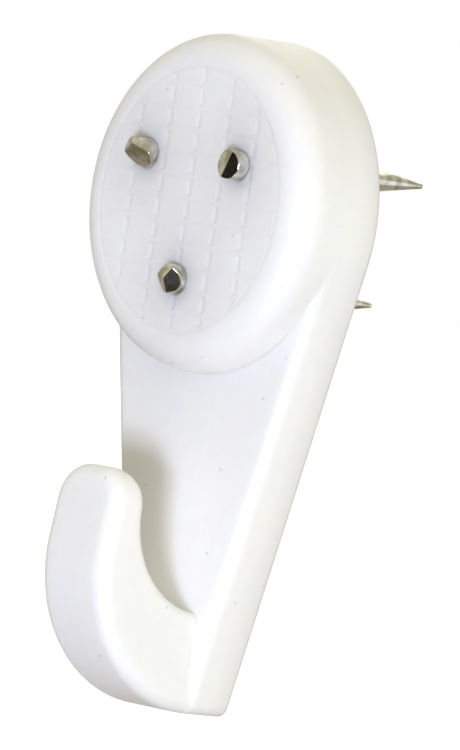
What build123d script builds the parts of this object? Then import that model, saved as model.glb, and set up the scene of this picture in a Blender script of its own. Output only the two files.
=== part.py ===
from build123d import *
import os
from math import asin, cos, hypot, radians, sin, tan

# Hardwall picture hook: one moulded plastic hook that three hardened steel pins nail to a wall.
# Millimetres. X runs across the hook and Z is up. The wall is the plane y = 0, and the pins go
# into it along +Y. The origin is the centre of the round boss, on its flat back.

# Boss, the round block that holds the pins and takes the hammer
boss_diameter = 20.0
boss_thickness = 6.1
boss_face_edge_radius = 1.9

# Waffle grip moulded into the boss's face, inside a fine ring: faint level grooves, and between
# them columns of short V pits
ring_diameter = 15.8
ring_groove_width = 0.26
ring_groove_depth = 0.05
waffle_margin = 0.2
row_pitch = 1.34
row_groove_width = 0.3
row_groove_depth = 0.03
column_pitch = 2.6
pit_length = 0.92
pit_width = 0.5
pit_depth = 0.08

# Back plate, the flat slab behind the boss that narrows into the stem and ends under the hook
overall_height = 40.0
plate_thickness = 3.2
plate_foot_width = 5.75
plate_edge_radius = 0.7

# Hook, a thick J that rises in front of the stem
hook_reach = 11.05
hook_bend_radius = 8.5
hook_arm_thickness = 2.7
hook_floor_thickness = 5.95
hook_seat_radius = 5.65
# The tip rises this far above the top of the seat's round, which leaves room for the curl
hook_rise = 2.3
hook_lean = 6.5
hook_tip_corner_radius = 2.2
# The inner line of the J curls away from the wall at its tip, through this angle
hook_tip_curl_radius = 1.9
hook_tip_curl = 60.0
# The foot of the plate has this rounding too, so that the two run into each other
hook_outer_edge_radius = 0.9
hook_inner_edge_radius = 0.6

# Pins, cut from hard wire: pinched off at the head end, ground to a point at the wall end
pin_diameter = 1.75
pin_circle_diameter = 9.5
pin_point_length = 4.7
pin_tip_diameter = 0.3
pin_first_angle = 30.0
# The pins in turn: how far each reaches into the wall, and how far above its middle its tip is
pin_names = ["pin_upper_right", "pin_upper_left", "pin_lower"]
pin_wall_reaches = [8.35, 8.9, 9.4]
pin_tip_rises = [0.35, 0.0, 0.0]
# Their heads: how far each stands off the face, how far above its middle its facets meet, and
# the heading and slope of each pinched facet
pin_head_peaks = [1.0, 1.35, 1.0]
pin_peak_rises = [0.0, 0.42, 0.0]
pin_head_facets = [
    [(-25.0, 14.0), (155.0, 10.0)],
    [(20.0, 44.0), (-75.0, 44.0), (165.0, 20.0)],
    [(120.0, 24.0), (-30.0, 40.0), (-130.0, 30.0)],
]

foot_z = boss_diameter / 2 - overall_height
face_y = -boss_thickness

# How far a cutting shape runs past the surface that it cuts, and what counts as touching
past = 1.0
touching = 0.001
# Angles, in degrees, of a line that points straight down, and of a square turn
downwards = 270.0
square_turn = 90.0


def sketch_face(points):
    return make_face(Polyline(*points, close=True))


def make_boss():
    """Round block with a broad rounded edge to its face."""
    height = boss_thickness - plate_thickness / 2
    block = Pos(0, face_y, 0) * Rot(-90, 0, 0) * Cylinder(
        boss_diameter / 2, height, align=(Align.CENTER, Align.CENTER, Align.MIN)
    )
    face_rim = block.edges().filter_by(GeomType.CIRCLE).sort_by(Axis.Y)[0]
    return fillet(face_rim, boss_face_edge_radius)


def make_plate():
    """Slab whose sides leave the boss along its tangents and close in on the foot."""
    boss_radius = boss_diameter / 2
    half_foot = plate_foot_width / 2
    foot_distance = hypot(half_foot, foot_z)
    # Where the radius from the boss's centre meets the line to the foot's corner squarely
    tangent_angle = asin(half_foot / foot_distance) - asin(boss_radius / foot_distance)
    tangent = (boss_radius * cos(tangent_angle), boss_radius * sin(tangent_angle))
    mirrored = (-tangent[0], tangent[1])
    over = ThreePointArc(tangent, (0, boss_radius), mirrored)
    sides = Polyline(mirrored, (-half_foot, foot_z), (half_foot, foot_z), tangent)
    outline = make_face([*over.edges(), *sides.edges()])
    foot_corners = outline.vertices().group_by(Axis.Y)[0]
    outline = fillet(foot_corners, hook_outer_edge_radius)
    slab = extrude(Plane.XZ * outline, plate_thickness)
    return fillet(slab.edges().group_by(Axis.Y)[0], plate_edge_radius)


def hook_lines():
    """Outer and inner lines of the J in side view, in Y and Z, from its root up to its tip."""
    root_y = -plate_thickness / 2
    seat_z = foot_z + hook_floor_thickness
    top_z = seat_z + hook_seat_radius + hook_rise
    arm_y = hook_arm_thickness - hook_reach
    bend_y = hook_bend_radius - hook_reach
    seat_centre = (arm_y + hook_seat_radius, seat_z + hook_seat_radius)

    foot = Line((root_y, foot_z), (bend_y, foot_z))
    bend_centre = (bend_y, foot_z + hook_bend_radius)
    bend = CenterArc(bend_centre, hook_bend_radius, downwards, -square_turn - hook_lean)
    lean_shift = (top_z - (bend @ 1).Y) * tan(radians(hook_lean))
    arm = Line(bend @ 1, ((bend @ 1).X + lean_shift, top_z))
    floor = Line((root_y, seat_z), (seat_centre[0], seat_z))
    seat = CenterArc(seat_centre, hook_seat_radius, downwards, -square_turn)
    curl_z = top_z - hook_tip_curl_radius * sin(radians(hook_tip_curl))
    inside = Line(seat @ 1, (arm_y, curl_z))
    curl = CenterArc((arm_y - hook_tip_curl_radius, curl_z), hook_tip_curl_radius, 0, hook_tip_curl)
    return [foot, bend, arm], [floor, seat, inside, curl]


def long_edges(block, lines):
    """Edges of the J that run beside the given lines, and over its tip where the lines end."""
    paths = [Plane.YZ * line for line in lines]
    tip_z = (lines[-1] @ 1).Y
    chosen = []
    for edge in block.edges():
        middle = edge @ 0.5
        beside = min(path.distance_to(Vertex(0, middle.Y, middle.Z)) for path in paths) < touching
        crosses = abs((edge @ 0).X - (edge @ 1).X) > hook_tip_corner_radius
        if beside and (not crosses or middle.Z > tip_z - touching):
            chosen.append(edge)
    return chosen


def make_hook():
    """J of even width with a round-cornered tip, its edges rounded more outside than inside."""
    outer, inner = hook_lines()
    tip = Line(outer[-1] @ 1, inner[-1] @ 1)
    root = Line(inner[0] @ 0, outer[0] @ 0)
    block = extrude(Plane.YZ * make_face([*outer, *inner, tip, root]), plate_foot_width / 2, both=True)
    top_sides = block.edges().group_by(Axis.Z)[-1].filter_by(Axis.Y)
    block = fillet(top_sides, hook_tip_corner_radius)
    block = fillet(long_edges(block, outer), hook_outer_edge_radius)
    return fillet(long_edges(block, inner), hook_inner_edge_radius)


def sketch_vee(centre_x, width, depth):
    """Section of a V groove in the face, carried on in front of the face at the same slopes."""
    half_mouth = width / 2 * (1 + past / depth)
    left = (centre_x - half_mouth, face_y - past)
    right = (centre_x + half_mouth, face_y - past)
    return Plane.XY * sketch_face([left, right, (centre_x, face_y + depth)])


def make_waffle():
    """Level grooves from side to side of the ring, and the pits in the spaces between them."""
    reach = ring_diameter / 2 - waffle_margin
    row = Rot(0, 90, 0) * extrude(sketch_vee(0, row_groove_width, row_groove_depth), reach, both=True)
    pit = extrude(sketch_vee(0, pit_width, pit_depth), pit_length / 2, both=True)
    rows = int(reach / row_pitch)
    columns = int(reach / column_pitch)
    cuts = [Pos(0, 0, n * row_pitch) * row for n in range(-rows, rows + 1)]
    for column in range(-columns, columns + 1):
        for space in range(-rows - 1, rows + 1):
            cuts.append(Pos(column * column_pitch, 0, (space + 0.5) * row_pitch) * pit)
    field = Rot(90, 0, 0) * Cylinder(reach, 2 * (boss_thickness + past))
    return cuts[0].fuse(*cuts[1:]) & field


def make_ring():
    """Fine V groove that frames the waffle."""
    return revolve(sketch_vee(ring_diameter / 2, ring_groove_width, ring_groove_depth), Axis.Y)


def make_pin(reach, tip_rise, peak, peak_rise, facets):
    """Round shank with a ground point for the wall and pinched facets that meet at its peak."""
    radius = pin_diameter / 2
    tip_radius = pin_tip_diameter / 2
    length = reach - face_y + peak
    wide_radius = tip_radius + (radius - tip_radius) * length / pin_point_length
    from_peak = (Align.CENTER, Align.CENTER, Align.MIN)
    shank = Rot(-90, 0, 0) * Cylinder(radius, length, align=from_peak)
    ground = Pos(0, 0, tip_rise) * Rot(-90, 0, 0) * Cone(wide_radius, tip_radius, length, align=from_peak)
    pin = shank & ground
    for heading, slope in facets:
        keep = Box(2 * length, 2 * length, 2 * length, align=(Align.CENTER, Align.MIN, Align.CENTER))
        pin = pin & Pos(0, 0, peak_rise) * Rot(0, -heading, 0) * Rot(0, 0, slope) * keep
    return Pos(0, face_y - peak, 0) * pin


def pin_places():
    """One place on the pin circle for each named pin."""
    radius = pin_circle_diameter / 2
    angles = [radians(pin_first_angle + 360 * n / len(pin_names)) for n in range(len(pin_names))]
    return [Pos(radius * cos(angle), 0, radius * sin(angle)) for angle in angles]


def make_hook_body():
    """The whole moulding: boss, stem and hook in one, waffled face, and a hole for each pin."""
    body = make_boss() + make_plate() + make_hook()
    body = body - make_ring() - make_waffle()
    hole = Rot(90, 0, 0) * Cylinder(pin_diameter / 2, 2 * (boss_thickness + past))
    for place in pin_places():
        body = body - place * hole
    return body


os.makedirs("parts", exist_ok=True)
export_step(make_hook_body(), "parts/hook_body.step")
pins = zip(pin_wall_reaches, pin_tip_rises, pin_head_peaks, pin_peak_rises, pin_head_facets)
for name, place, pin in zip(pin_names, pin_places(), pins):
    export_step(place * make_pin(*pin), "parts/" + name + ".step")
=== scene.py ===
from math import cos, radians, sin

import bpy
from mathutils import Matrix, Vector


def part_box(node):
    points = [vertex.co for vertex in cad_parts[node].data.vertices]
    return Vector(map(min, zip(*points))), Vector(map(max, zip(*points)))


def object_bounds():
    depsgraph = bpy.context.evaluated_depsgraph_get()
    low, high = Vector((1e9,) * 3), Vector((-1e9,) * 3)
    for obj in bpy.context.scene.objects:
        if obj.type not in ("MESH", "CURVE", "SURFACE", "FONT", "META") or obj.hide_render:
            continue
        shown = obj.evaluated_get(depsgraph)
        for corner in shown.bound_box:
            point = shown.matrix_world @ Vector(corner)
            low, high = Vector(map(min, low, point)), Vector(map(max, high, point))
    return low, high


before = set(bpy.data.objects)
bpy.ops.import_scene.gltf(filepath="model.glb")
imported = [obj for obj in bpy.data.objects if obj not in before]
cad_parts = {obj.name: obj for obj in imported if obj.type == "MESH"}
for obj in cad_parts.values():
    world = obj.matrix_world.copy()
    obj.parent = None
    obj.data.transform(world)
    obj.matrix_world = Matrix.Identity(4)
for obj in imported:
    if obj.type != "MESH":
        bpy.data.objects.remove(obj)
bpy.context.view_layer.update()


# ---- The moulding ---------------------------------------------------------------------------
# Boss, stem and hook are one injection moulding in white plastic. It is glossy and a little
# cloudy, so light runs under its skin; the shade of the steel pins where they pass through, and a
# shade towards the wall on the sides, are painted into its colour. It has a few dark specks of
# regrind in it.

class Socket:
    """One output of a shader node. Arithmetic on it adds Math nodes."""

    def __init__(self, tree, output=None):
        self.tree = tree
        self.output = output

    def node(self, kind, settings, inputs, output=0):
        """Adds a node: its settings first, then the value or the link of each named input."""
        made = self.tree.nodes.new(kind)
        for name, setting in settings.items():
            setattr(made, name, setting)
        for name, value in inputs.items():
            if isinstance(value, Socket):
                self.tree.links.new(value.output, made.inputs[name])
            else:
                made.inputs[name].default_value = value
        return Socket(self.tree, made.outputs[output] if len(made.outputs) else None)

    def math(self, operation, *values):
        return self.node("ShaderNodeMath", {"operation": operation}, dict(enumerate(values)))

    def within(self, low, high):
        """0 where the value is at low, 1 where it is at high, and smooth between them."""
        inputs = {"Value": self, "From Min": low, "From Max": high}
        return self.node("ShaderNodeMapRange", {"interpolation_type": "SMOOTHSTEP"}, inputs)

    def blend(self, first, second):
        """The first colour where this is 0, the second where it is 1."""
        colours = [c if isinstance(c, Socket) else (*c, 1) for c in (first, second)]
        inputs = {"Factor": self, "A": colours[0], "B": colours[1]}
        return self.node("ShaderNodeMix", {"data_type": "RGBA"}, inputs, "Result")

    def __add__(self, other):
        return self.math("ADD", self, other)

    def __radd__(self, other):
        return self.math("ADD", other, self)

    def __sub__(self, other):
        return self.math("SUBTRACT", self, other)

    def __rsub__(self, other):
        return self.math("SUBTRACT", other, self)

    def __mul__(self, other):
        return self.math("MULTIPLY", self, other)

    def __rmul__(self, other):
        return self.math("MULTIPLY", other, self)


def new_finish(name):
    """An empty material, and a socket with the place of each point on the object in metres."""
    material = bpy.data.materials.new(name)
    material.use_nodes = True
    material.node_tree.nodes.clear()
    place = Socket(material.node_tree).node("ShaderNodeTexCoord", {}, {}, "Object")
    return material, place


def noise(place, scale, detail):
    """Cloudy noise from 0 to 1 with about this many blobs to the metre."""
    inputs = {"Vector": place, "Scale": scale, "Detail": detail}
    return place.node("ShaderNodeTexNoise", {}, inputs, "Fac")


def dress(node, material):
    """Gives every slot of a CAD node the material."""
    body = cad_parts[node]
    for slot in body.material_slots:
        slot.material = material
    if not body.material_slots:
        body.data.materials.append(material)


pins = ("pin_upper_right", "pin_upper_left", "pin_lower")

white_plastic, place = new_finish("white_moulded_plastic")

# Broad clouds between two whites, and a fine grey mottle over them
clear_white = (0.925, 0.92, 0.905)
cloudy_white = (0.945, 0.937, 0.905)
mottle_grey = (0.8, 0.79, 0.8)
cloud_scale = 160
mottle_scale = 1300
mottle_strength = 0.12
clouds = noise(place, cloud_scale, 3).within(0.3, 0.7)
mottle = noise(place, mottle_scale, 4).within(0.3, 0.7)
body_colour = clouds.blend(clear_white, cloudy_white)
body_colour = (mottle * mottle_strength).blend(body_colour, mottle_grey)

# Painted shade where the steel blocks the light under the skin: dark for a millimetre round each
# pin, faint for five
painted_pin_shade_grey = (0.42, 0.42, 0.46)
close_to_pin = (0.0021, 0.0008)
around_pin = (0.006, 0.001)
close_share = 0.6
around_share = 0.5
shade_strength = 0.42
shaded_depths = (-0.0052, -0.006)
flat_place = place.node("ShaderNodeVectorMath", {"operation": "MULTIPLY"}, {0: place, 1: (1, 0, 1)})
painted_pin_shade = 0.0
for pin in pins:
    low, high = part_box(pin)
    axis = Vector(((low.x + high.x) / 2, 0, (low.z + high.z) / 2))
    away = place.node(
        "ShaderNodeVectorMath", {"operation": "DISTANCE"}, {0: flat_place, 1: axis}, "Value"
    )
    close = away.within(*close_to_pin) * close_share
    around = away.within(*around_pin) * around_share
    painted_pin_shade = close + around + painted_pin_shade
depth = place.node("ShaderNodeSeparateXYZ", {}, {"Vector": place}, "Y")
on_face = depth.within(*shaded_depths)
body_colour = (painted_pin_shade * on_face * shade_strength).blend(body_colour, painted_pin_shade_grey)

# Painted shade: the sides grow greyer towards the wall, but not the flat back itself
painted_wall_edge_shade_grey = (0.66, 0.66, 0.67)
painted_wall_edge_shade_strength = 0.46
wall_edge_shade_depths = (-0.002, 0.0003)
unshaded_back_depths = (0.0, -0.0001)
painted_wall_edge_shade = depth.within(*wall_edge_shade_depths) * depth.within(*unshaded_back_depths)
body_colour = (painted_wall_edge_shade * painted_wall_edge_shade_strength).blend(body_colour, painted_wall_edge_shade_grey)

# Specks: each cell has a random point and a random red, which is the size of the speck there
speck_brown = (0.28, 0.26, 0.25)
speck_strength = 0.3
largest_speck = 0.09
speck_rim = (-0.005, 0.025)
speck_cells = {"Vector": place, "Scale": 650}
from_point = place.node("ShaderNodeTexVoronoi", {}, speck_cells, "Distance")
random_colour = place.node("ShaderNodeTexVoronoi", {}, speck_cells, "Color")
random_red = place.node("ShaderNodeSeparateColor", {}, {"Color": random_colour}, "Red")
specks = (random_red * largest_speck - from_point).within(*speck_rim)
body_colour = (specks * speck_strength).blend(body_colour, speck_brown)

# The skin ripples a little, handling has smudged it, and all its edges are softened
edge_softening = 0.00024
skin_height = 0.00004
skin_strength = 0.06
grain_scale = 2600
ripple_scale = 450
ripple_height = 10
smudge_scale = 420
shiny = 0.29
smudged = 0.1
skin_form = noise(place, grain_scale, 4) + noise(place, ripple_scale, 2) * ripple_height
smudges = noise(place, smudge_scale, 5).within(0.35, 0.7)
soft_edges = place.node("ShaderNodeBevel", {"samples": 8}, {"Radius": edge_softening})
skin = {
    "Strength": skin_strength,
    "Distance": skin_height,
    "Height": skin_form,
    "Normal": soft_edges,
}
plastic_surface = place.node("ShaderNodeBump", {}, skin)
plastic_shader = place.node(
    "ShaderNodeBsdfPrincipled",
    {},
    {
        "Base Color": body_colour,
        "Roughness": shiny + smudges * smudged,
        "IOR": 1.47,
        "Subsurface Weight": 0.75,
        "Subsurface Radius": (1, 0.95, 0.85),
        "Subsurface Scale": 0.0011,
        "Normal": plastic_surface,
    },
)
plastic_shader.node("ShaderNodeOutputMaterial", {}, {"Surface": plastic_shader})
dress("hook_body", white_plastic)

# ---- The pins -------------------------------------------------------------------------------
# Hardened steel wire, pressed through the boss. The room ends are pinched off by cutters, which
# leaves bright and dark facets, and the wall ends are ground to a point.

stained_steel = (0.42, 0.39, 0.27)
bright_steel = (0.84, 0.81, 0.77)
draw_marks = (9000, 350, 9000)
stain_scale = 1100
burr_softening = 0.00013
mark_height = 0.00002
mark_strength = 0.2
polished = 0.1
scratched = 0.14

pin_steel, place = new_finish("hardened_pin_steel")
drawn = place.node("ShaderNodeMapping", {}, {"Vector": place, "Scale": draw_marks})
streaks = noise(drawn, 1, 4)
stains = noise(place, stain_scale, 6).within(0.33, 0.67)
burrs = place.node("ShaderNodeBevel", {"samples": 8}, {"Radius": burr_softening})
marks = streaks * 0.5 + stains * 0.5
relief = {"Strength": mark_strength, "Distance": mark_height, "Height": marks, "Normal": burrs}
steel_surface = place.node("ShaderNodeBump", {}, relief)
steel_shader = place.node(
    "ShaderNodeBsdfPrincipled",
    {},
    {
        "Base Color": stains.blend(stained_steel, bright_steel),
        "Metallic": 1.0,
        "Roughness": polished + streaks * scratched,
        "Normal": steel_surface,
    },
)
steel_shader.node("ShaderNodeOutputMaterial", {}, {"Surface": steel_shader})
for pin in pins:
    dress(pin, pin_steel)

# ---- Floor ----------------------------------------------------------------------------------
# A plain pale floor a little below the foot of the hook, far wider than any view of it. Only
# the camera sees it, so light from below comes up through it, and its glow drowns any shadow.

floor_drop = 0.02
floor_reach = 3.0
floor_white = (0.9, 0.9, 0.9, 1)
floor_glow = 0.62
low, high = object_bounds()
floor_z = low.z - floor_drop
signs = ((-1, -1), (1, -1), (1, 1), (-1, 1))
corners = [(x * floor_reach, y * floor_reach, floor_z) for x, y in signs]
floor_mesh = bpy.data.meshes.new("floor")
floor_mesh.from_pydata(corners, [], [(0, 1, 2, 3)])
floor = bpy.data.objects.new("floor", floor_mesh)
bpy.context.scene.collection.objects.link(floor)
pale_floor, place = new_finish("pale_floor")
seen = place.node("ShaderNodeLightPath", {}, {}, "Is Camera Ray")
pale = place.node(
    "ShaderNodeBsdfPrincipled",
    {},
    {
        "Base Color": floor_white,
        "Roughness": 0.8,
        "Emission Color": (1, 1, 1, 1),
        "Emission Strength": floor_glow,
    },
)
clear = place.node("ShaderNodeBsdfTransparent", {}, {})
floor_shader = place.node("ShaderNodeMixShader", {}, {0: seen, 1: clear, 2: pale})
floor_shader.node("ShaderNodeOutputMaterial", {}, {"Surface": floor_shader})
floor_mesh.materials.append(pale_floor)

# ---- Light ----------------------------------------------------------------------------------
# Soft studio light: a key softbox in front, a little right and below, weaker ones at the right,
# from below and behind, and a room that is brighter above than below.

middle = (low + high) / 2
softbox_distance = 0.4


def direction(azimuth, elevation):
    """Unit vector towards a place round the object; azimuth 0 is straight in front of it."""
    a, e = radians(azimuth), radians(elevation)
    return Vector((sin(a) * cos(e), -cos(a) * cos(e), sin(e)))


def softbox(name, azimuth, elevation, size, power, colour):
    """A square lamp that faces the middle of the object."""
    lamp = bpy.data.lights.new(name, "AREA")
    lamp.size = size
    lamp.energy = power
    lamp.color = colour
    holder = bpy.data.objects.new(name, lamp)
    bpy.context.scene.collection.objects.link(holder)
    towards = direction(azimuth, elevation)
    holder.location = middle + towards * softbox_distance
    holder.rotation_euler = towards.to_track_quat("Z", "Y").to_euler()


softbox("key_softbox", 36, -12, size=0.09, power=1.14, colour=(0.735, 0.785, 1.0))
softbox("warm_bounce", 88, 0, size=0.25, power=0.16, colour=(0.96, 1.0, 0.7))
softbox("low_fill", 36, -58, size=0.2, power=0.21, colour=(1.0, 0.97, 0.94))
softbox("back_fill", 140, -5, size=0.25, power=0.15, colour=(0.75, 0.85, 1.0))
softbox("rim_light", 215, 30, size=0.25, power=0.16, colour=(1.0, 1.0, 1.0))

room = bpy.data.worlds.new("room")
bpy.context.scene.world = room
room.use_nodes = True
room.node_tree.nodes.clear()
ray = Socket(room.node_tree).node("ShaderNodeTexCoord", {}, {}, "Generated")


def facing(towards):
    """How far a ray of the room points towards a direction, from -1 to 1."""
    inputs = {0: ray, 1: towards}
    return ray.node("ShaderNodeVectorMath", {"operation": "DOT_PRODUCT"}, inputs, "Value")


# The one dark gap, low in front, blackens the facets of the pins that mirror it
overhead = Vector((0, 0, 1))
room_below = (0.27, 0.24, 0.19)
room_above = (0.79, 0.765, 0.64)
black = (0.0, 0.0, 0.0)
backdrop_white = (1.0, 1.0, 1.0)
gap_direction = direction(-4, -26)
gap_edge = cos(radians(37))
gap_core = cos(radians(28))
walls = (facing(overhead) * 0.5 + 0.5).blend(room_below, room_above)
walls = facing(gap_direction).within(gap_edge, gap_core).blend(walls, black)
seen = ray.node("ShaderNodeLightPath", {}, {}, "Is Camera Ray")
walls = seen.blend(walls, backdrop_white)
backdrop = ray.node("ShaderNodeBackground", {}, {"Color": walls, "Strength": 1.0})
backdrop.node("ShaderNodeOutputWorld", {}, {"Surface": backdrop})
bpy.context.scene.view_settings.view_transform = "Standard"

# ---- Camera ---------------------------------------------------------------------------------
# Stands to the right of the hook at its own height, leaning a little, with a long lens.

camera_azimuth = 48.69
camera_elevation = 1.14
camera_roll = radians(8.19)
camera_distance = 0.5
camera_lens = 405.6
looks_at = Vector((-0.0003, -0.0006, -0.00994))

back = direction(camera_azimuth, camera_elevation)
level = Vector((0, 0, 1)).cross(back).normalized()
upright = back.cross(level)
across = level * cos(camera_roll) + upright * sin(camera_roll)
above = upright * cos(camera_roll) - level * sin(camera_roll)
camera_data = bpy.data.cameras.new("camera")
camera_data.lens = camera_lens
camera_data.clip_start = 0.01
camera = bpy.data.objects.new("camera", camera_data)
bpy.context.scene.collection.objects.link(camera)
turn = Matrix((across, above, back)).transposed().to_4x4()
camera.matrix_world = Matrix.Translation(looks_at + back * camera_distance) @ turn
bpy.context.scene.camera = camera
